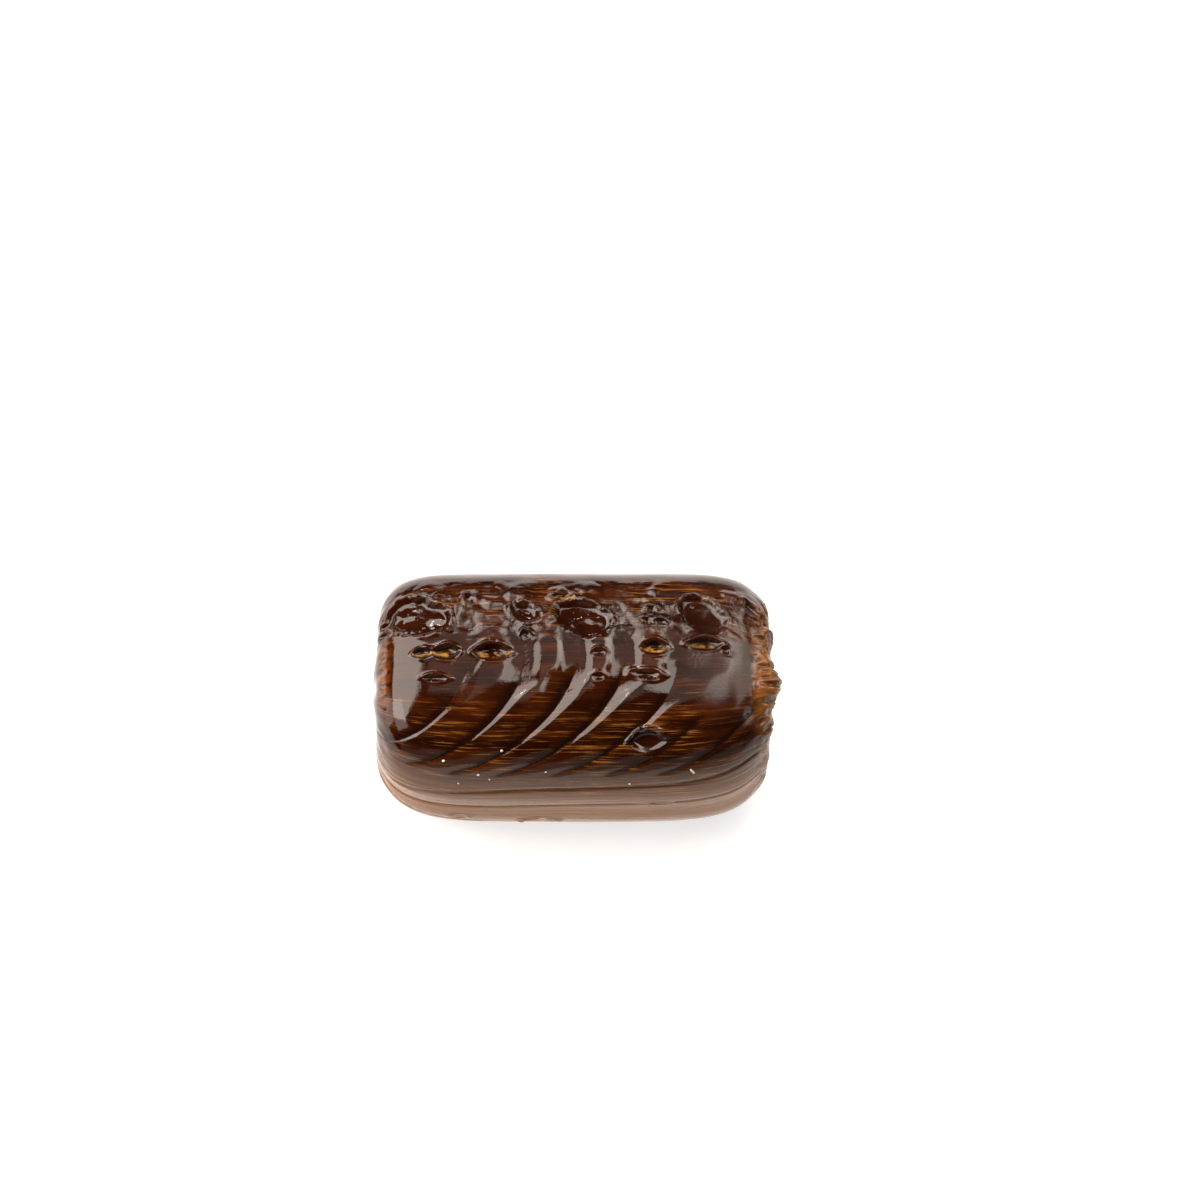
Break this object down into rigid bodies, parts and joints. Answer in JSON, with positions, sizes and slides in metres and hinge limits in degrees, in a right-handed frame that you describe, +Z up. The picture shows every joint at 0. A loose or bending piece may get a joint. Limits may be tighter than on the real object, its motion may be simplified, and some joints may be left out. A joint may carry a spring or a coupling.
{
  "type": "hard candy",
  "caption": "Pillow-shaped hard candy of dark pulled sugar with curved pressed bands, grooved sides, burst bubbles and a torn crust at one end.",
  "frame": {"origin": "bottom centre of the bounding box, on the surface that the candy lies on", "axes": "+X along the candy towards its torn end, +Z up through the face with the burst bubbles, -Y towards the side that faces the viewer"},
  "size_m": [0.0266, 0.016, 0.0124],
  "materials": {
    "sugar": "glossy dark brown pulled sugar, streaked with amber along its length"
  },
  "bodies": {
    "root": {"hard_candy": "sugar"}
  },
  "joints": []
}
